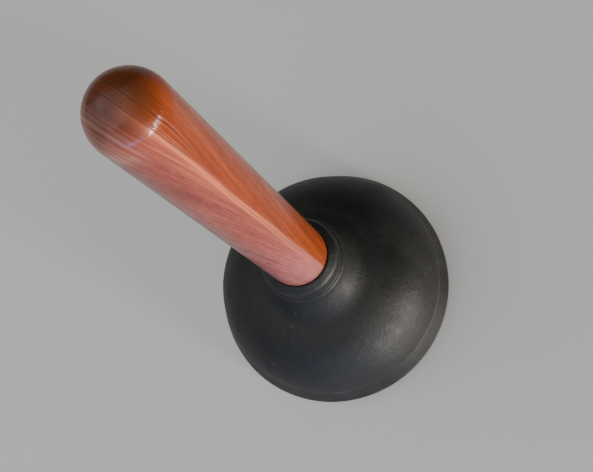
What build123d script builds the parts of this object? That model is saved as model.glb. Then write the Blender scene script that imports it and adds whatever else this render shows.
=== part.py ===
from build123d import *
from math import atan2, cos, degrees, radians, sin, sqrt
import os

# Toilet plunger: a moulded rubber cup held on a turned wooden handle by a wood screw and a washer.
# The origin is the centre of the rim's opening, in the plane that the cup stands on. +Z runs up the handle.
# Every piece is turned about Z, so outlines are (radius, height) pairs on Plane.XZ.

# Cup, outside
rim_radius = 65.3  # to the sharp corner, before the edge is rounded
shoulder_radius = 61.2
skirt_height = 12.0
dome_radius = 44.0
dome_lean = 10.0  # degrees that the dome's wall leans inwards where it leaves the shoulder
neck_foot_radius = 19.2
neck_top_radius = 20.0
neck_edge_height = 77.0
neck_lip_height = 80.5
neck_edge_round = 2.0
flare_radius = 18.5  # the hollow curve from the dome up to the neck
bead_centre = (19.4, 67.4)  # a moulded bead rings the neck's foot
bead_radius = 2.2
bead_start, bead_end = -40.0, 75.0  # degrees above the horizontal
under_bead_height = 65.0

# Cup, inside
wall = 4.5
rim_lip_width = 4.0
rim_edge_round = 1.0
pocket_radius = 14.0
pocket_edge_round = 3.0
socket_floor_bottom = 51.0
socket_floor_top = 56.0

# Handle
handle_radius = 15.5
handle_top = 296.0
taper_top = 82.0  # just above the rubber's lip
taper_end_radius = 13.5

# Fixing
washer_radius = 11.0
washer_thickness = 1.5
washer_edge_round = 0.3
screw_head_radius = 5.0
screw_head_height = 3.2
screw_head_round = 1.8
shank_radius = 2.2
plain_shank = 8.0
thread_crest_radius = 2.4
thread_root_radius = 1.7
thread_pitch = 2.0
thread_turns = 10
point_length = 4.0
hole_clearance = 0.1
recess_length = 5.2
recess_width = 1.1
recess_depth = 2.0
recess_taper = 12.0

os.makedirs("parts", exist_ok=True)

# The dome's arc leaves the shoulder leaning inwards, and the flare's arc touches it and the neck.
dome_centre_radius = shoulder_radius - dome_radius * cos(radians(dome_lean))
dome_centre_height = skirt_height - dome_radius * sin(radians(dome_lean))
flare_centre_radius = neck_foot_radius + flare_radius
flare_run = flare_centre_radius - dome_centre_radius
flare_rise = sqrt((dome_radius + flare_radius) ** 2 - flare_run**2)
flare_angle = degrees(atan2(flare_rise, flare_run))
neck_foot_height = dome_centre_height + flare_rise


def on_dome(radius, angle):
    """The point at an angle above the horizontal on a circle about the dome's centre."""
    across = dome_centre_radius + radius * cos(radians(angle))
    up = dome_centre_height + radius * sin(radians(angle))
    return (across, up)


def on_flare(angle):
    """The point of the flare's circle at an angle from its neck foot, turning down and outwards."""
    across = flare_centre_radius - flare_radius * cos(radians(angle))
    up = neck_foot_height - flare_radius * sin(radians(angle))
    return (across, up)


def on_bead(angle):
    """The point at an angle above the horizontal on the bead's circle."""
    across = bead_centre[0] + bead_radius * cos(radians(angle))
    up = bead_centre[1] + bead_radius * sin(radians(angle))
    return (across, up)


# Half section of the whole rubber moulding.
inner_radius = dome_radius - wall
shoulder = (shoulder_radius, skirt_height)
flare_start = on_flare(flare_angle)
neck_foot = (neck_foot_radius, neck_foot_height)
neck_edge = (neck_top_radius, neck_edge_height)
inner_shoulder = on_dome(inner_radius, dome_lean)
inner_crown = on_dome(inner_radius, 90)
pocket_mouth = (pocket_radius, inner_crown[1])
taper_slope = (handle_radius - taper_end_radius) / (taper_top - socket_floor_top)
socket_mouth = (taper_end_radius + taper_slope * (neck_lip_height - socket_floor_top), neck_lip_height)
rim_inside = (rim_radius - rim_lip_width, 0)
floor_hole_radius = thread_crest_radius + hole_clearance

with BuildSketch(Plane.XZ) as cup_section:
    with BuildLine():
        Line((rim_radius, 0), shoulder)
        ThreePointArc(shoulder, on_dome(dome_radius, (dome_lean + flare_angle) / 2), flare_start)
        ThreePointArc(flare_start, on_flare(flare_angle / 2), neck_foot)
        Polyline(neck_foot, (neck_foot_radius, under_bead_height), on_bead(bead_start))
        ThreePointArc(on_bead(bead_start), on_bead((bead_start + bead_end) / 2), on_bead(bead_end))
        Polyline(on_bead(bead_end), neck_edge, socket_mouth, (taper_end_radius, socket_floor_top))
        Line((taper_end_radius, socket_floor_top), (floor_hole_radius, socket_floor_top))
        Line((floor_hole_radius, socket_floor_top), (floor_hole_radius, socket_floor_bottom))
        Line((floor_hole_radius, socket_floor_bottom), (pocket_radius, socket_floor_bottom))
        Polyline((pocket_radius, socket_floor_bottom), pocket_mouth, inner_crown)
        ThreePointArc(inner_crown, on_dome(inner_radius, (dome_lean + 90) / 2), inner_shoulder)
        Polyline(inner_shoulder, rim_inside, (rim_radius, 0))
    make_face()
    corners = cup_section.vertices()
    fillet(corners.group_by(Axis.Y)[0], rim_edge_round)
    fillet(corners.sort_by_distance(neck_edge)[0], neck_edge_round)
    fillet(corners.sort_by_distance(pocket_mouth)[0], pocket_edge_round)


def cup_slice(bottom, top):
    """The moulding's half section between two heights."""
    with BuildSketch(Plane.XZ) as ring:
        add(cup_section.sketch_local)
        with Locations((0, bottom)):
            Rectangle(rim_radius, top - bottom, align=(Align.MIN, Align.MIN), mode=Mode.INTERSECT)
    return ring.sketch


# The moulding works by bending, so it is three rings that meet face to face: the skirt, which stands still,
# the bell, which collapses, and the neck, which goes down with the handle.
with BuildPart() as cup_rim:
    revolve(cup_slice(0, skirt_height), axis=Axis.Z)
cup_rim.part.label = "cup_rim"
export_step(cup_rim.part, "parts/cup_rim.step")

with BuildPart() as cup_bell:
    revolve(cup_slice(skirt_height, socket_floor_bottom), axis=Axis.Z)
cup_bell.part.label = "cup_bell"
export_step(cup_bell.part, "parts/cup_bell.step")

with BuildPart() as cup_neck:
    revolve(cup_slice(socket_floor_bottom, neck_lip_height), axis=Axis.Z)
cup_neck.part.label = "cup_neck"
export_step(cup_neck.part, "parts/cup_neck.step")

# Handle: a tapered end in the socket, a straight stick and a hemispherical top, with a pilot hole for the screw.
screw_seat = socket_floor_bottom - washer_thickness
thread_length = thread_pitch * thread_turns
screw_tip = screw_seat + plain_shank + thread_length + point_length
pilot_radius = thread_crest_radius + hole_clearance
pilot_top = screw_tip + hole_clearance
pilot_cone_bottom = pilot_top - point_length
dome_start = handle_top - handle_radius

with BuildPart() as handle:
    with BuildSketch(Plane.XZ):
        with BuildLine():
            Line((pilot_radius, socket_floor_top), (taper_end_radius, socket_floor_top))
            Polyline((taper_end_radius, socket_floor_top), (handle_radius, taper_top), (handle_radius, dome_start))
            RadiusArc((handle_radius, dome_start), (0, handle_top), -handle_radius)
            Line((0, handle_top), (0, pilot_top))
            Polyline((0, pilot_top), (pilot_radius, pilot_cone_bottom), (pilot_radius, socket_floor_top))
        make_face()
    revolve(axis=Axis.Z)
handle.part.label = "handle"
export_step(handle.part, "parts/handle.step")

with BuildPart() as washer:
    with BuildSketch(Plane.XY.offset(screw_seat)):
        Circle(washer_radius)
        Circle(floor_hole_radius, mode=Mode.SUBTRACT)
    extrude(amount=washer_thickness)
    fillet(washer.edges().group_by(SortBy.LENGTH)[-1], washer_edge_round)
washer.part.label = "washer"
export_step(washer.part, "parts/washer.step")

# Screw: a pan head, a plain shank, and a thread drawn as a row of rings that runs out in a point.
thread_start = screw_seat + plain_shank
thread_end = thread_start + thread_length
thread_outline = [(shank_radius, screw_seat), (shank_radius, thread_start - thread_pitch / 2)]
for turn in range(thread_turns):
    thread_outline.append((thread_root_radius, thread_start + turn * thread_pitch))
    thread_outline.append((thread_crest_radius, thread_start + (turn + 0.5) * thread_pitch))
thread_outline.append((thread_root_radius, thread_end))
thread_outline.append((0, screw_tip))

head_bottom = screw_seat - screw_head_height
head_corner = (screw_head_radius, head_bottom)

with BuildPart() as screw:
    with BuildSketch(Plane.XZ) as screw_section:
        with BuildLine():
            Polyline(*thread_outline)
            Polyline((0, screw_tip), (0, head_bottom), head_corner, (screw_head_radius, screw_seat))
            Line((screw_head_radius, screw_seat), (shank_radius, screw_seat))
        make_face()
        fillet(screw_section.vertices().sort_by_distance(head_corner)[0], screw_head_round)
    revolve(axis=Axis.Z)
    with BuildSketch(Plane.XY.offset(head_bottom)):
        Rectangle(recess_length, recess_width)
        Rectangle(recess_width, recess_length)
    extrude(amount=recess_depth, taper=recess_taper, mode=Mode.SUBTRACT)
screw.part.label = "screw"
export_step(screw.part, "parts/screw.step")
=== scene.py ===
import bpy
from math import atan2, cos, hypot, pi, radians, sin, sqrt, tan
from mathutils import Matrix, Vector, noise


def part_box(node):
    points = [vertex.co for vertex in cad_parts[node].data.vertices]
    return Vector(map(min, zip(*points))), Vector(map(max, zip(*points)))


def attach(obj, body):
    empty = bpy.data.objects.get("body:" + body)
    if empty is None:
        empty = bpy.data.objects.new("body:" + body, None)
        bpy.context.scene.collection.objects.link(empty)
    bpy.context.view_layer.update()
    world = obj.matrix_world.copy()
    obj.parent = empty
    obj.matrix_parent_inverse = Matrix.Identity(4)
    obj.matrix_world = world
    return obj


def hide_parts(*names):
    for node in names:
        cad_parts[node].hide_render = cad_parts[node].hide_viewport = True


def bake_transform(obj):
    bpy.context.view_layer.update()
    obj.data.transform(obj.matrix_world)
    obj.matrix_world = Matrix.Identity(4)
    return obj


# A toilet plunger: a black moulded rubber cup on a thick varnished wooden handle. Metres, in the CAD frame.
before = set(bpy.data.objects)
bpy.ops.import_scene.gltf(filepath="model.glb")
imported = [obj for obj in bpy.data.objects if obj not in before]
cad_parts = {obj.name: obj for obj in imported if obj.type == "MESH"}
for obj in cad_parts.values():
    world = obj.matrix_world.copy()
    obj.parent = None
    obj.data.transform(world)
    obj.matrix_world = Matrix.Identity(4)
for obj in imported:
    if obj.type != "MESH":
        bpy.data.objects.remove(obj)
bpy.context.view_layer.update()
MM = 0.001

# ---------------------------------------------------------------- sizes

# Heights and radii that the CAD nodes give
RIM, BELL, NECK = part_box("cup_rim"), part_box("cup_bell"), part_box("cup_neck")
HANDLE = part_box("handle")
SHOULDER = (BELL[1].x, RIM[1].z)
FLOOR_BOTTOM = NECK[0].z
LIP_HEIGHT = NECK[1].z
HANDLE_RADIUS = HANDLE[1].x
HANDLE_BOTTOM, HANDLE_TOP = HANDLE[0].z, HANDLE[1].z

# Sizes that a box can't give, as in the CAD
RIM_CORNER = 65.3 * MM  # before the edge is rounded
RIM_LIP_WIDTH = 4.0 * MM
DOME_RADIUS = 44.0 * MM
DOME_LEAN = radians(10)
WALL = 4.5 * MM
FLARE_RADIUS = 18.5 * MM
NECK_FOOT_RADIUS = 19.2 * MM
NECK_EDGE = (20.0 * MM, 77.0 * MM)
BEAD_CENTRE = (19.4 * MM, 67.4 * MM)  # a moulded bead rings the neck's foot
BEAD_RADIUS = 2.2 * MM
BEAD_START, BEAD_END = radians(-40), radians(75)
UNDER_BEAD = (19.2 * MM, 65.0 * MM)
POCKET_RADIUS = 14.0 * MM
SCREW_HOLE_RADIUS = 2.5 * MM
TAPER_TOP = 82.0 * MM
TAPER_END_RADIUS = 13.5 * MM
PILOT_HEIGHT = 27.6 * MM
PILOT_POINT = 4.0 * MM

# Radii of the rounded edges
RIM_ROUND = 1.0 * MM
SHOULDER_ROUND = 1.0 * MM
NECK_ROUND = 3.2 * MM
BEAD_ROUND = 0.8 * MM
LIP_ROUND = 0.8 * MM
POCKET_ROUND = 3.0 * MM
SMALL_ROUND = 0.5 * MM

# Mesh fineness
CUP_SEGMENTS = 180
HANDLE_SEGMENTS = 144
OUTLINE_STEP = 0.8 * MM
ROUND_STEP = 0.3 * MM
FEWEST_STEPS = 3  # in any arc
ON_AXIS = 1e-7  # a point of an outline that is nearer to the axis than this is on it


# ---------------------------------------------------------------- outlines: (radius, height) pairs

def on_circle(centre, radius, angle):
    return (centre[0] + radius * cos(angle), centre[1] + radius * sin(angle))


def arc_points(centre, radius, start, end, step=OUTLINE_STEP):
    """Points of an arc from one angle to another, both included."""
    count = max(FEWEST_STEPS, round(abs(end - start) * radius / step))
    return [on_circle(centre, radius, start + (end - start) * i / count) for i in range(count + 1)]


def rounded(before, corner, after, radius):
    """The arc that rounds the corner between two runs."""
    c = Vector(corner)
    sides = [(Vector(p) - c).normalized() for p in (before, after)]
    half = sides[0].angle(sides[1]) / 2
    centre = c + (sides[0] + sides[1]).normalized() * radius / sin(half)
    spokes = [c + side * radius / tan(half) - centre for side in sides]
    start, end = (atan2(s.y, s.x) for s in spokes)
    turn = (end - start + pi) % (2 * pi) - pi
    return arc_points(centre, radius, start, start + turn, ROUND_STEP)


def run_between(a, b):
    """Evenly spaced points between a and b, neither included."""
    count = max(1, round(hypot(b[0] - a[0], b[1] - a[1]) / OUTLINE_STEP))
    return [(a[0] + (b[0] - a[0]) * i / count, a[1] + (b[1] - a[1]) * i / count) for i in range(1, count)]


def joined(curves, closed):
    """One outline from curves given in order, with straight runs of points between them."""
    outline = []
    following = curves[1:] + (curves[:1] if closed else [])
    for index, curve in enumerate(curves):
        outline += curve
        if index < len(following):
            outline += run_between(curve[-1], following[index][0])
    return outline


def cup_outline():
    """The rubber moulding's half section: up the outside, down the socket, and down the inside.

    The dome's arc and the flare's arc meet in a smooth curve, and the bead rings the neck above the flare.
    """
    dome = (SHOULDER[0] - DOME_RADIUS * cos(DOME_LEAN), SHOULDER[1] - DOME_RADIUS * sin(DOME_LEAN))
    flare_radius = NECK_FOOT_RADIUS + FLARE_RADIUS
    run = flare_radius - dome[0]
    rise = sqrt((DOME_RADIUS + FLARE_RADIUS) ** 2 - run**2)
    flare = (flare_radius, dome[1] + rise)
    meeting = atan2(rise, run)
    inner = DOME_RADIUS - WALL
    crown = dome[1] + inner
    bevel = SHOULDER_ROUND / DOME_RADIUS
    beside_shoulder = on_circle(dome, DOME_RADIUS, DOME_LEAN + bevel)
    neck_foot = (NECK_FOOT_RADIUS, flare[1])
    bead = arc_points(BEAD_CENTRE, BEAD_RADIUS, BEAD_START, BEAD_END, ROUND_STEP)
    bead_end = bead[-1]
    bead = bead[:-3]  # the rounding at its end takes the place of its last points
    slope = (HANDLE_RADIUS - TAPER_END_RADIUS) / (TAPER_TOP - HANDLE_BOTTOM)
    mouth = (TAPER_END_RADIUS + slope * (LIP_HEIGHT - HANDLE_BOTTOM), LIP_HEIGHT)
    socket_corner = (TAPER_END_RADIUS, HANDLE_BOTTOM)
    hole_top, hole_bottom = (SCREW_HOLE_RADIUS, HANDLE_BOTTOM), (SCREW_HOLE_RADIUS, FLOOR_BOTTOM)
    pocket_top, pocket_mouth = (POCKET_RADIUS, FLOOR_BOTTOM), (POCKET_RADIUS, crown)
    rim_outside, rim_inside = (RIM_CORNER, 0), (RIM_CORNER - RIM_LIP_WIDTH, 0)
    inner_shoulder = on_circle(dome, inner, DOME_LEAN)
    curves = [
        rounded(rim_inside, rim_outside, SHOULDER, RIM_ROUND),
        rounded(rim_outside, SHOULDER, beside_shoulder, SHOULDER_ROUND),
        arc_points(dome, DOME_RADIUS, DOME_LEAN + bevel, meeting),
        arc_points(flare, FLARE_RADIUS, pi + meeting, pi)[1:],  # its first point is the dome's last
        rounded(neck_foot, UNDER_BEAD, bead[0], SMALL_ROUND),
        bead,
        rounded(bead[-1], bead_end, NECK_EDGE, BEAD_ROUND),
        rounded(bead_end, NECK_EDGE, mouth, NECK_ROUND),
        rounded(NECK_EDGE, mouth, socket_corner, LIP_ROUND),
        [socket_corner],
        [hole_top],
        rounded(hole_top, hole_bottom, pocket_top, SMALL_ROUND),
        rounded(hole_bottom, pocket_top, pocket_mouth, SMALL_ROUND),
        rounded(pocket_top, pocket_mouth, (dome[0], crown), POCKET_ROUND),
        arc_points(dome, inner, pi / 2, DOME_LEAN),
        rounded(inner_shoulder, rim_inside, rim_outside, RIM_ROUND),
    ]
    return joined(curves, closed=True)


def handle_outline():
    """The handle's half section: down the pilot hole, across the end, up the outside and over the top."""
    hole_top, hole_side = HANDLE_BOTTOM + PILOT_HEIGHT, HANDLE_BOTTOM + PILOT_HEIGHT - PILOT_POINT
    end_corner, taper_corner = (TAPER_END_RADIUS, HANDLE_BOTTOM), (HANDLE_RADIUS, TAPER_TOP)
    curves = [
        [(0, hole_top)],
        [(SCREW_HOLE_RADIUS, hole_side)],
        [(SCREW_HOLE_RADIUS, HANDLE_BOTTOM)],
        rounded((0, HANDLE_BOTTOM), end_corner, taper_corner, SMALL_ROUND),
        [taper_corner],
        arc_points((0, HANDLE_TOP - HANDLE_RADIUS), HANDLE_RADIUS, 0, pi / 2),
    ]
    return joined(curves, closed=False)


# ---------------------------------------------------------------- meshes

def turned(name, outline, segments, closed, shift):
    """A mesh turned about Z.

    shift(radius, angle, height) moves a point outwards a little, so that no surface is perfect.
    """
    rows, verts, faces = [], [], []
    for radius, height in outline:
        count = segments if radius > ON_AXIS else 1
        rows.append([len(verts) + i % count for i in range(segments)])
        for i in range(count):
            angle = 2 * pi * i / segments
            r = radius + (shift(radius, angle, height) if count > 1 else 0)
            verts.append((r * cos(angle), r * sin(angle), height))
    pairs = list(zip(rows, rows[1:] + (rows[:1] if closed else [])))
    for low, high in pairs:
        for i in range(segments):
            j = (i + 1) % segments
            corners = [low[i], low[j], high[j], high[i]]
            faces.append([c for k, c in enumerate(corners) if c not in corners[:k]])
    mesh = bpy.data.meshes.new(name)
    mesh.from_pydata(verts, [], faces)
    mesh.validate()
    mesh.shade_smooth()
    piece = bpy.data.objects.new(name, mesh)
    bpy.context.scene.collection.objects.link(piece)
    return piece


def round_noise(radius, angle, height, scale, seed):
    """Smooth noise from -1 to 1 that has no seam round the piece."""
    point = Vector((radius * cos(angle), radius * sin(angle), height)) * scale
    return noise.noise(point + Vector((seed, 0, 0)))


CUP_UNEVEN = 0.25 * MM
CUP_UNEVEN_SCALE, CUP_SEED = 28, 3.0
HANDLE_UNEVEN = 0.05 * MM
HANDLE_UNEVEN_SCALE, HANDLE_SEED = 45, 11.0
UNEVEN_FADE = 10 * MM  # a true surface gets uneven over this distance


def cup_shift(radius, angle, height):
    """Rubber that has been pushed and pulled is a little uneven, but its socket is true."""
    clear = max(0.0, min(1.0, (radius - NECK_EDGE[0]) / UNEVEN_FADE))
    return CUP_UNEVEN * clear * round_noise(radius, angle, height, CUP_UNEVEN_SCALE, CUP_SEED)


def handle_shift(radius, angle, height):
    """A sanded stick is a little uneven above the rubber, and mostly inwards, to stay in its CAD box."""
    clear = max(0.0, min(1.0, (height - TAPER_TOP) / UNEVEN_FADE))
    wave = round_noise(radius, angle, height, HANDLE_UNEVEN_SCALE, HANDLE_SEED)
    return HANDLE_UNEVEN * clear * (wave - 0.5)


# ---------------------------------------------------------------- material helpers

def material(name):
    """A new node material, its tree and its shader."""
    made = bpy.data.materials.new(name)
    made.use_nodes = True
    return made, made.node_tree, made.node_tree.nodes["Principled BSDF"]


def add(tree, kind, inputs=None, **settings):
    """A node with its settings, and its inputs given as values or as sockets to link."""
    node = tree.nodes.new(kind)
    for key, value in settings.items():
        setattr(node, key, value)
    for key, value in (inputs or {}).items():
        if isinstance(value, bpy.types.NodeSocket):
            tree.links.new(value, node.inputs[key])
        else:
            node.inputs[key].default_value = value
    return node


def math(tree, operation, a, b=0.0, c=0.0):
    return add(tree, "ShaderNodeMath", {0: a, 1: b, 2: c}, operation=operation).outputs[0]


def plus(tree, a, b):
    return math(tree, "ADD", a, b)


def minus(tree, a, b):
    return math(tree, "SUBTRACT", a, b)


def times(tree, a, b):
    return math(tree, "MULTIPLY", a, b)


def spread(tree, value, low, high, to_low=0.0, to_high=1.0):
    """value from low..high to to_low..to_high, smoothly, and held there."""
    ranged = add(tree, "ShaderNodeMapRange", {0: value, 1: low, 2: high, 3: to_low, 4: to_high},
                 interpolation_type="SMOOTHSTEP")
    return ranged.outputs[0]


def noise_at(tree, vector, detail=3.0, roughness=0.55, distortion=0.0, scale=1.0):
    inputs = {"Vector": vector, "Scale": scale, "Detail": detail}
    inputs.update({"Roughness": roughness, "Distortion": distortion})
    return add(tree, "ShaderNodeTexNoise", inputs).outputs["Fac"]


def stretched(tree, vector, across, along):
    """The coordinates scaled for a pattern that is fine across Z and long along it."""
    scales = (across, across, along)
    return add(tree, "ShaderNodeVectorMath", {0: vector, 1: scales}, operation="MULTIPLY").outputs[0]


def combined(tree, x, y, z):
    return add(tree, "ShaderNodeCombineXYZ", {0: x, 1: y, 2: z}).outputs[0]


def mixed(tree, factor, a, b, blend="MIX"):
    """Two colours, mixed. The node's sockets are named alike for each data type, so they go by number."""
    node = add(tree, "ShaderNodeMix", data_type="RGBA", blend_type=blend)
    for socket, value in zip((node.inputs[0], node.inputs[6], node.inputs[7]), (factor, a, b)):
        if isinstance(value, bpy.types.NodeSocket):
            tree.links.new(value, socket)
        else:
            socket.default_value = value
    return node.outputs[2]


def ramp(tree, factor, stops):
    """A colour ramp from (position, colour) stops."""
    node = add(tree, "ShaderNodeValToRGB", {0: factor})
    elements = node.color_ramp.elements
    while len(elements) < len(stops):
        elements.new(0.5)
    for element, (position, colour) in zip(elements, stops):
        element.position = position
        element.color = (*colour, 1)
    return node.outputs[0]


def bumped(tree, height, distance):
    return add(tree, "ShaderNodeBump", {"Height": height, "Distance": distance}).outputs[0]


# ---------------------------------------------------------------- wood

# Where things are on the stick
GRAIN_FACE = radians(-84)  # the side of the handle where the grain lines meet
GRAIN_SLOPE = 0.10  # how fast a grain line nears that face on its way down the handle
GRAIN_BLUNT = 0.25 * MM  # how blunt the point is where a line from each side meets
GRAIN_MERGE = 2.0 * MM  # the lines run in alongside the meeting line within about this distance
GRAIN_SWAY = 1.8 * MM  # how far the lines wander from side to side
LOG_BASE = 2.718  # natural logarithms
SEAM_START, SEAM_LEAN = 2.2 * MM, 0.012  # the pale streak, pale wood with a painted sheen, which crosses the meeting line at a slight angle
LOW_START, LOW_END = 175 * MM, 90 * MM  # painted light: the stick is lightened on its way down between these heights, against the shade near the cup
SALMON_START, SALMON_END = 190 * MM, 250 * MM  # salmon wood, with a painted sheen, comes in between these heights
CREASES_END = 240 * MM  # the creases fan out from here to the tip
CREASES_FADE = 22 * MM  # and reach their full strength over this distance
FAN_CENTRE = 1.4 * MM  # beside the meeting line
GRIME_HEIGHT = 7 * MM  # above the rubber's lip

# Creases as (place across the fan, half width, strength)
DARK_CREASES = [
    (-1.9, 0.36, 1.0),
    (-1.1, 0.22, 0.6),
    (-0.2, 0.20, 0.35),
    (2.2, 0.6, 0.5),
    (4.1, 0.4, 0.35),
]
# Pale creases: light grain lines, lightened as painted glints of the varnish highlight near the tip
PALE_GLINT_CREASES = [(-1.5, 0.16, 0.5), (-0.6, 0.2, 0.7), (1.4, 0.3, 0.5), (2.9, 0.25, 0.8)]

# Colour ramps from dark figure to light
ORANGE = [
    (0.32, (0.165, 0.022, 0.002)),
    (0.46, (0.215, 0.031, 0.003)),
    (0.58, (0.260, 0.040, 0.004)),
    (0.72, (0.32, 0.057, 0.008)),
]
# The pink side's colours are paler wood with painted cool light in them.
PINK = [
    (0.32, (0.165, 0.029, 0.021)),
    (0.46, (0.200, 0.037, 0.027)),
    (0.58, (0.240, 0.048, 0.034)),
    (0.72, (0.31, 0.076, 0.050)),
]
LINE_TINT = [(0.32, (0.80, 0.70, 0.64)), (0.50, (1.0, 1.0, 1.0)), (0.68, (1.18, 1.22, 1.26))]
FIBRE_TINT = [(0.32, (0.84, 0.80, 0.78)), (0.52, (1.0, 1.0, 1.0)), (0.72, (1.14, 1.16, 1.18))]

# Colours of single marks
# Painted light: lighter colours low on the stick, against the shade near the cup.
LOW_PINK_PAINTED_LIGHT = (0.40, 0.145, 0.140, 1)
LOW_ORANGE_PAINTED_LIGHT = (0.29, 0.060, 0.013, 1)
LIGHT_FLECK = (1.32, 1.38, 1.40, 1)
DARK_PORE = (0.74, 0.62, 0.56, 1)
# Salmon wood and the pale streak, lighter also as a painted sheen on the face towards the key light
SALMON_AND_SHEEN = (0.52, 0.125, 0.060, 1)
PALE_SHEEN_STREAK = (0.62, 0.165, 0.072, 1)
# pale crease colour: light grain and a painted glint
PALE_GLINT_CREASE = (0.62, 0.19, 0.09, 1)
DARK_CREASE = (0.070, 0.014, 0.004, 1)
# Stained end grain over the tip's top, darkened further as painted shade where the top faces away from the
# lights
SHADED_END_ORANGE = (0.105, 0.034, 0.014, 1)
SHADED_END_PINK = (0.100, 0.035, 0.021, 1)
# pale streaks on the tip's side: a painted cool reflection
END_REFLECTION_STREAK = (0.42, 0.23, 0.16, 1)
GRIME = (0.09, 0.035, 0.02, 1)


class Grain:
    """The sockets that the wood's colour and relief are made from, by name."""


def creased(tree, fanned, lines, creases):
    """Lines that fan out towards the tip, each fading and coming back along its way."""
    total = None
    for centre, half_width, strength in creases:
        away = math(tree, "ABSOLUTE", minus(tree, fanned, centre))
        line = spread(tree, away, half_width, 0.0, 0.0, strength)
        total = line if total is None else math(tree, "MAXIMUM", total, line)
    return times(tree, total, spread(tree, lines, 0.30, 0.55, 0.35, 1.0))


def grain_places(tree):
    """Where a point is on the stick: its height, and how it lies from the face where the grain lines meet."""
    grain = Grain()
    grain.place = add(tree, "ShaderNodeTexCoord").outputs["Object"]
    x, y, grain.z = add(tree, "ShaderNodeSeparateXYZ", {0: grain.place}).outputs
    grain.front = plus(tree, times(tree, x, cos(GRAIN_FACE)), times(tree, y, sin(GRAIN_FACE)))
    side = minus(tree, times(tree, y, cos(GRAIN_FACE)), times(tree, x, sin(GRAIN_FACE)))
    bends = noise_at(tree, stretched(tree, grain.place, 55, 16), detail=2)
    grain.side = plus(tree, side, math(tree, "MULTIPLY_ADD", bends, GRAIN_SWAY, -GRAIN_SWAY / 2))
    grain.seam = math(tree, "MULTIPLY_ADD", grain.z, SEAM_LEAN, minus(tree, grain.side, SEAM_START))
    # The pinker side is paler wood and also painted cool light on that side.
    grain.pinker = spread(tree, grain.seam, 2.3 * MM, 0.5 * MM)
    return grain


def across_grain(tree, side, z):
    """How far across the grain a point lies. The lines slope in to the meeting line and merge with it."""
    wide = times(tree, side, spread(tree, side, 1.0 * MM, -1.0 * MM, 1.15, 0.62))
    from_face = math(tree, "POWER", math(tree, "MULTIPLY_ADD", wide, wide, GRAIN_BLUNT**2), 0.5)
    in_mm = math(tree, "DIVIDE", from_face, MM)
    merging = times(tree, math(tree, "LOGARITHM", in_mm, LOG_BASE), GRAIN_MERGE)
    return math(tree, "MULTIPLY_ADD", z, -GRAIN_SLOPE, plus(tree, from_face, merging))


def grain_of(tree):
    """The places on the stick, the noises that follow its grain, and its creases."""
    grain = grain_places(tree)
    across = across_grain(tree, grain.side, grain.z)

    def along_grain(fine, long, detail=3.0):
        """Noise that is fine across the grain lines and long along them. Both in cycles per metre."""
        depth = times(tree, grain.side, 70)
        at = combined(tree, times(tree, across, fine), times(tree, grain.z, long), depth)
        return noise_at(tree, at, detail=detail, roughness=0.6)

    grain.bands = along_grain(260, 5)
    grain.lines = along_grain(1100, 10, detail=4)
    grain.fibres = along_grain(3600, 60, detail=2)
    grain.flecks = along_grain(1900, 210, detail=1)
    grain.calm = spread(tree, grain.z, HANDLE_TOP - 30 * MM, HANDLE_TOP - 12 * MM, 1.0, 0.4)

    fan = spread(tree, grain.z, CREASES_END, HANDLE_TOP - 6 * MM, 0.3, 1.0)
    fanned = math(tree, "DIVIDE", minus(tree, grain.side, FAN_CENTRE), fan)
    fanned = math(tree, "DIVIDE", fanned, MM)
    reach = spread(tree, grain.z, CREASES_END, CREASES_END + CREASES_FADE)
    reach = times(tree, reach, spread(tree, grain.z, HANDLE_TOP - 12 * MM, HANDLE_TOP - 3 * MM, 1.0, 0.6))
    grain.dark_crease = times(tree, creased(tree, fanned, grain.lines, DARK_CREASES), reach)
    grain.pale_crease = times(tree, creased(tree, fanned, grain.lines, PALE_GLINT_CREASES), reach)
    return grain


def plain_wood(tree, grain):
    """Orange wood on one side and pink on the other, the pink partly painted cool light on that side, with
    lines, fibres, light flecks and dark pores.
    """
    figure = math(tree, "MULTIPLY_ADD", grain.bands, 0.6, times(tree, grain.lines, 0.4))
    colour = mixed(tree, grain.pinker, ramp(tree, figure, ORANGE), ramp(tree, figure, PINK))
    # Painted light: the stick is lighter low down, against the shade near the cup.
    low_painted_light = spread(tree, grain.z, LOW_START, LOW_END, 0.0, 0.7)
    colour = mixed(tree, times(tree, low_painted_light, grain.pinker), colour, LOW_PINK_PAINTED_LIGHT)
    orange_low_painted_light = times(tree, low_painted_light, spread(tree, grain.pinker, 1.0, 0.0, 0.0, 0.5))
    colour = mixed(tree, orange_low_painted_light, colour, LOW_ORANGE_PAINTED_LIGHT)
    line_tint = ramp(tree, grain.lines, LINE_TINT)
    colour = mixed(tree, times(tree, grain.calm, 0.8), colour, line_tint, "MULTIPLY")
    colour = mixed(tree, 0.8, colour, ramp(tree, grain.fibres, FIBRE_TINT), "MULTIPLY")
    light = spread(tree, grain.flecks, 0.58, 0.72, 0.0, 0.8)
    colour = mixed(tree, light, colour, LIGHT_FLECK, "MULTIPLY")
    dark = spread(tree, grain.flecks, 0.42, 0.30, 0.0, 0.7)
    return mixed(tree, dark, colour, DARK_PORE, "MULTIPLY")


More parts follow.
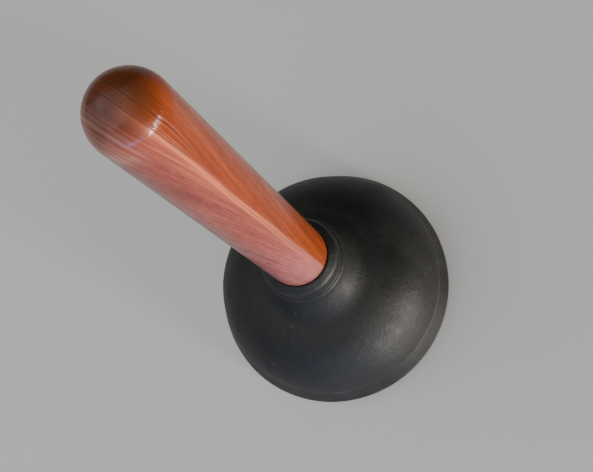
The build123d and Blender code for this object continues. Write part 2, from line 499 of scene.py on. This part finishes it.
def with_meeting_line(tree, grain, colour):
    """Salmon wood beside the line where the grain meets, and the pale streak that crosses it, both lightened
    further as a painted sheen on the face towards the key light.
    """
    # the face towards the key light, where the painted sheen goes
    facing = spread(tree, grain.front, 0.0, 8 * MM)
    high_up = spread(tree, grain.z, SALMON_START, SALMON_END, 0.1, 0.5)
    salmon_and_sheen = times(tree, spread(tree, grain.seam, -8 * MM, -2 * MM), high_up)
    salmon_and_sheen = times(tree, times(tree, salmon_and_sheen, grain.pinker), spread(tree, grain.lines, 0.35, 0.6, 0.3, 1.0))
    colour = mixed(tree, times(tree, salmon_and_sheen, facing), colour, SALMON_AND_SHEEN)
    streak_place = combined(tree, times(tree, grain.seam, 1300), times(tree, grain.z, 6), 1.3)
    streaks = noise_at(tree, streak_place, detail=2)
    pale_sheen_ridge = times(tree, spread(tree, math(tree, "ABSOLUTE", grain.seam), 2.0 * MM, 0.3 * MM), facing)
    pale_sheen_ridge = times(tree, pale_sheen_ridge, spread(tree, streaks, 0.40, 0.58, 0.12, 0.85))
    return mixed(tree, pale_sheen_ridge, colour, PALE_SHEEN_STREAK)


def with_end(tree, grain, colour):
    """Creases near the tip, the pale ones with painted glints; end grain over its top, stained and darkened
    further as painted shade; and pale streaks down one side of it, a painted cool reflection.
    """
    # Painted glints along the pale creases near the varnish highlight, then the dark grain creases.
    colour = mixed(tree, times(tree, grain.pale_crease, 0.6), colour, PALE_GLINT_CREASE)
    colour = mixed(tree, times(tree, grain.dark_crease, 0.85), colour, DARK_CREASE)
    # Painted shade: the tip's top is darker, as stained end grain and as shade.
    end_grain_and_shade = spread(tree, grain.z, HANDLE_TOP - 0.75 * HANDLE_RADIUS, HANDLE_TOP - 0.15 * HANDLE_RADIUS)
    end_grain_and_shade = times(tree, end_grain_and_shade, spread(tree, grain.bands, 0.35, 0.6, 0.92, 0.76))
    colour = mixed(tree, end_grain_and_shade, colour, mixed(tree, grain.pinker, SHADED_END_ORANGE, SHADED_END_PINK))
    # Painted reflection: pale streaks of cool light down one side of the tip, broken up by the grain.
    on_end = spread(tree, grain.z, HANDLE_TOP - 24 * MM, HANDLE_TOP - 13 * MM)
    pale = times(tree, on_end, spread(tree, grain.side, -5 * MM, -12 * MM))
    pale = times(tree, pale, spread(tree, grain.lines, 0.40, 0.60, 0.1, 0.6))
    return mixed(tree, pale, colour, END_REFLECTION_STREAK)


def varnish(tree, shader, grain):
    """Smudged varnish over the grain: a satin body under a glossier, slightly rippled coat."""
    smudges = noise_at(tree, stretched(tree, grain.place, 90, 40), detail=4)
    rough = plus(tree, spread(tree, smudges, 0.35, 0.7, 0.28, 0.44), times(tree, grain.lines, 0.12))
    tree.links.new(rough, shader.inputs["Roughness"])
    fibrous = times(tree, grain.fibres, 0.25)
    relief = math(tree, "MULTIPLY_ADD", times(tree, grain.lines, grain.calm), 0.7, fibrous)
    relief = minus(tree, relief, times(tree, grain.dark_crease, 0.8))
    ripples = noise_at(tree, stretched(tree, grain.place, 420, 260), detail=2)
    rippled = math(tree, "MULTIPLY_ADD", ripples, 0.7, relief)
    tree.links.new(bumped(tree, relief, 0.22 * MM), shader.inputs["Normal"])
    tree.links.new(bumped(tree, rippled, 0.20 * MM), shader.inputs["Coat Normal"])
    shader.inputs["Specular IOR Level"].default_value = 0.05
    shader.inputs["Coat Weight"].default_value = 0.5
    shader.inputs["Coat Roughness"].default_value = 0.15


def wood():
    """Varnished reddish hardwood with a feathered grain, pinker on one side, partly as painted cool light,
    and lighter where the lines meet, partly as a painted sheen.
    """
    made, tree, shader = material("varnished_wood")
    grain = grain_of(tree)
    colour = plain_wood(tree, grain)
    colour = with_meeting_line(tree, grain, colour)
    colour = with_end(tree, grain, colour)
    grimy = spread(tree, grain.z, LIP_HEIGHT + GRIME_HEIGHT, LIP_HEIGHT, 0.0, 0.35)
    tree.links.new(mixed(tree, grimy, colour, GRIME), shader.inputs["Base Color"])
    varnish(tree, shader, grain)
    return made


# ---------------------------------------------------------------- rubber

CLEAN_RUBBER = (0.0045, 0.0041, 0.0034, 1)
BLOOMED_RUBBER = (0.0095, 0.0088, 0.0076, 1)
SCRATCH = (0.050, 0.048, 0.045, 1)
SPECK = (0.06, 0.056, 0.05, 1)
SKIRT_DUST = (0.034, 0.033, 0.031, 1)
# a pale line at the shoulder: settled dust and a painted highlight along its edge
SHOULDER_DUST_AND_HIGHLIGHT = (0.060, 0.060, 0.062, 1)
WORN_EDGE = (0.05, 0.046, 0.042, 1)
FLARE_HEIGHT = 57 * MM  # the middle of the hollow flare between the dome and the neck


def scuffs_round(tree, place, z):
    """Noise drawn out round the bell, as scuffs from turning the cup are."""
    x, y, _ = add(tree, "ShaderNodeSeparateXYZ", {0: place}).outputs
    out = math(tree, "POWER", plus(tree, math(tree, "POWER", x, 2.0), math(tree, "POWER", y, 2.0)), 0.5)
    safe = math(tree, "MAXIMUM", out, 0.1 * MM)
    along = times(tree, plus(tree, out, times(tree, z, 1.7)), 75)
    turns = combined(tree, math(tree, "DIVIDE", x, safe), math(tree, "DIVIDE", y, safe), along)
    return noise_at(tree, turns, detail=4, roughness=0.6, scale=11)


def on_skirt(tree, z, amount):
    """amount on the skirt, and none above its shoulder's edge."""
    return spread(tree, z, SHOULDER[1] + 1 * MM, SHOULDER[1] - 1 * MM, 0.0, amount)


def rubber_colour(tree, place, z, scuffs, clouds):
    """Near black, with bloom, scratches, specks, dust on the skirt, a pale line at its shoulder that is
    settled dust and a painted highlight, and a worn edge.
    """
    scratched = spread(tree, noise_at(tree, place, detail=2, scale=30), 0.45, 0.65)
    scratches = times(tree, spread(tree, scuffs, 0.58, 0.70), scratched)
    speckle = noise_at(tree, place, detail=2, scale=1500)
    bloom = spread(tree, clouds, 0.38, 0.72)
    colour = mixed(tree, bloom, CLEAN_RUBBER, BLOOMED_RUBBER)
    colour = mixed(tree, times(tree, scratches, 0.6), colour, SCRATCH)
    colour = mixed(tree, spread(tree, speckle, 0.70, 0.78, 0.0, 0.30), colour, SPECK)
    colour = mixed(tree, times(tree, on_skirt(tree, z, 0.3), bloom), colour, SKIRT_DUST)
    # Settled dust and a painted highlight along the shoulder's edge.
    from_shoulder = math(tree, "ABSOLUTE", minus(tree, z, SHOULDER[1]))
    settled_dust_and_highlight = spread(tree, from_shoulder, 1.1 * MM, 0.2 * MM, 0.0, 0.7)
    settled_dust_and_highlight = times(tree, settled_dust_and_highlight, spread(tree, clouds, 0.4, 0.7, 0.1, 1.0))
    colour = mixed(tree, settled_dust_and_highlight, colour, SHOULDER_DUST_AND_HIGHLIGHT)
    worn = spread(tree, z, 3 * MM, 0.0, 0.0, 0.4)
    return mixed(tree, times(tree, worn, clouds), colour, WORN_EDGE)


def rubber_roughness(tree, z, clouds, wrinkles):
    """Satin, a little smoother on the skirt and at the neck's top, and a little rougher in the flare."""
    rough = plus(tree, spread(tree, clouds, 0.35, 0.7, 0.47, 0.62), times(tree, wrinkles, 0.10))
    rough = minus(tree, rough, on_skirt(tree, z, 0.04))
    rough = minus(tree, rough, spread(tree, z, NECK_EDGE[1] - 9 * MM, NECK_EDGE[1] - 2 * MM, 0.0, 0.05))
    from_flare = math(tree, "ABSOLUTE", minus(tree, z, FLARE_HEIGHT))
    return plus(tree, rough, spread(tree, from_flare, 9 * MM, 4 * MM, 0.0, 0.07))


def rubber():
    """Black moulded rubber, satin, with a dusty bloom, fine wrinkles and scuffs round the bell."""
    made, tree, shader = material("black_rubber")
    place = add(tree, "ShaderNodeTexCoord").outputs["Object"]
    z = add(tree, "ShaderNodeSeparateXYZ", {0: place}).outputs[2]
    scuffs = scuffs_round(tree, place, z)
    wrinkles = noise_at(tree, place, detail=3, roughness=0.6, distortion=1.2, scale=330)
    clouds = noise_at(tree, place, detail=5, roughness=0.6, scale=42)
    grain = noise_at(tree, place, detail=3, roughness=0.7, scale=2400)
    tree.links.new(rubber_colour(tree, place, z, scuffs, clouds), shader.inputs["Base Color"])
    tree.links.new(rubber_roughness(tree, z, clouds, wrinkles), shader.inputs["Roughness"])
    crinkled = times(tree, wrinkles, spread(tree, clouds, 0.42, 0.62, 0.10, 0.42))
    relief = math(tree, "MULTIPLY_ADD", scuffs, 0.4, crinkled)
    relief = math(tree, "MULTIPLY_ADD", grain, 0.05, relief)
    tree.links.new(bumped(tree, relief, 0.55 * MM), shader.inputs["Normal"])
    shader.inputs["Specular IOR Level"].default_value = 0.45
    return made


# ---------------------------------------------------------------- steel

BRIGHT_ZINC = (0.62, 0.63, 0.66, 1)
DULL_ZINC = (0.42, 0.42, 0.42, 1)
RUST = (0.22, 0.12, 0.07, 1)


def steel():
    """Bright zinc plating that has dulled and spotted in the wet."""
    made, tree, shader = material("zinc_plated_steel")
    place = add(tree, "ShaderNodeTexCoord").outputs["Object"]
    dull = noise_at(tree, place, detail=4, roughness=0.6, scale=260)
    spots = spread(tree, noise_at(tree, place, detail=3, scale=520), 0.62, 0.72)
    colour = mixed(tree, spread(tree, dull, 0.35, 0.7), BRIGHT_ZINC, DULL_ZINC)
    colour = mixed(tree, times(tree, spots, 0.6), colour, RUST)
    tree.links.new(colour, shader.inputs["Base Color"])
    shader.inputs["Metallic"].default_value = 1.0
    rough = plus(tree, spread(tree, dull, 0.3, 0.7, 0.26, 0.42), times(tree, spots, 0.25))
    tree.links.new(rough, shader.inputs["Roughness"])
    tree.links.new(bumped(tree, dull, 0.03 * MM), shader.inputs["Normal"])
    return made


# ---------------------------------------------------------------- pieces

def make_cup(look):
    """The rubber moulding, one continuous skin, in place of the CAD's rim, bell and neck."""
    cup = turned("rubber_cup", cup_outline(), CUP_SEGMENTS, True, cup_shift)
    cup.data.materials.append(look)
    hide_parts("cup_rim", "cup_bell", "cup_neck")
    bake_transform(cup)


def make_handle(look):
    stick = turned("wooden_handle", handle_outline(), HANDLE_SEGMENTS, False, handle_shift)
    stick.data.materials.append(look)
    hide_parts("handle")
    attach(stick, "handle")


def paint_node(name, look):
    """A CAD node keeps its shape and gets a better material."""
    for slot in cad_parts[name].material_slots:
        slot.material = look


# ---------------------------------------------------------------- stage, lights and camera

FLOOR_SIZE = 3.0
PALE_FLOOR = (0.72, 0.71, 0.70, 1)
LIGHT_DISTANCE = 2.2  # far enough out to light no hot patch on the floor
ROOM_COLOUR, ROOM_STRENGTH = (0.95, 0.97, 1.0, 1), 0.03
CAMERA_HEIGHT = 567.3 * MM
CAMERA_BACK = 177.9 * MM
CAMERA_DOWN = radians(69.245)
CAMERA_HEADING = radians(2.239)
CAMERA_ROLL = radians(47.70)
CAMERA_LENS = 63.74


def make_floor():
    mesh = bpy.data.meshes.new("floor")
    half = FLOOR_SIZE / 2
    corners = [(-half, -half, 0), (half, -half, 0), (half, half, 0), (-half, half, 0)]
    mesh.from_pydata(corners, [], [(0, 1, 2, 3)])
    floor = bpy.data.objects.new("floor", mesh)
    bpy.context.scene.collection.objects.link(floor)
    made, tree, shader = material("pale_floor")
    shader.inputs["Base Color"].default_value = PALE_FLOOR
    shader.inputs["Roughness"].default_value = 0.8
    mesh.materials.append(made)


def area_light(name, azimuth, elevation, width, height, power, colour):
    """A soft light at LIGHT_DISTANCE from a point a third of the way up the handle, facing it. In degrees."""
    light = bpy.data.lights.new(name, "AREA")
    light.shape = "RECTANGLE"
    light.size = width
    light.size_y = height
    light.energy = power
    light.color = colour
    lamp = bpy.data.objects.new(name, light)
    az, el = radians(azimuth), radians(elevation)
    outward = Vector((cos(az) * cos(el), sin(az) * cos(el), sin(el)))
    lamp.location = Vector((0, 0, HANDLE_TOP / 3)) + LIGHT_DISTANCE * outward
    lamp.rotation_euler = (-outward).to_track_quat("-Z", "Y").to_euler()
    bpy.context.scene.collection.objects.link(lamp)


def make_lights():
    """A warm key low in front, weak blue ones low on the left, a wide one overhead and a weak one behind."""
    world = bpy.data.worlds.new("soft_room")
    world.use_nodes = True
    background = world.node_tree.nodes["Background"]
    background.inputs["Color"].default_value = ROOM_COLOUR
    background.inputs["Strength"].default_value = ROOM_STRENGTH
    bpy.context.scene.world = world
    area_light("key", -81, 0, 0.42, 0.32, 98, (1.0, 0.95, 0.87))
    area_light("cool_low", -130, 0, 1.4, 0.3, 15, (0.20, 0.42, 1.0))
    area_light("cool_left", -160, 14, 1.7, 1.0, 6, (0.45, 0.62, 1.0))
    area_light("high_soft", 150, 74, 3.4, 3.4, 50, (1.0, 0.99, 0.96))
    area_light("back_soft", 140, 25, 2.0, 1.7, 7, (0.80, 0.92, 1.0))


def make_camera():
    """Looking steeply down past the handle's tip, rolled so that the handle points to the upper left."""
    data = bpy.data.cameras.new("camera")
    data.lens = CAMERA_LENS
    camera = bpy.data.objects.new("camera", data)
    turn = Matrix.Rotation(-CAMERA_HEADING, 4, "Z") @ Matrix.Rotation(pi / 2 - CAMERA_DOWN, 4, "X")
    place = Matrix.Translation((0, -CAMERA_BACK, CAMERA_HEIGHT))
    camera.matrix_world = place @ turn @ Matrix.Rotation(-CAMERA_ROLL, 4, "Z")
    bpy.context.scene.collection.objects.link(camera)
    bpy.context.scene.camera = camera


make_cup(rubber())
make_handle(wood())
zinc = steel()
paint_node("washer", zinc)
paint_node("screw", zinc)
make_floor()
make_lights()
make_camera()
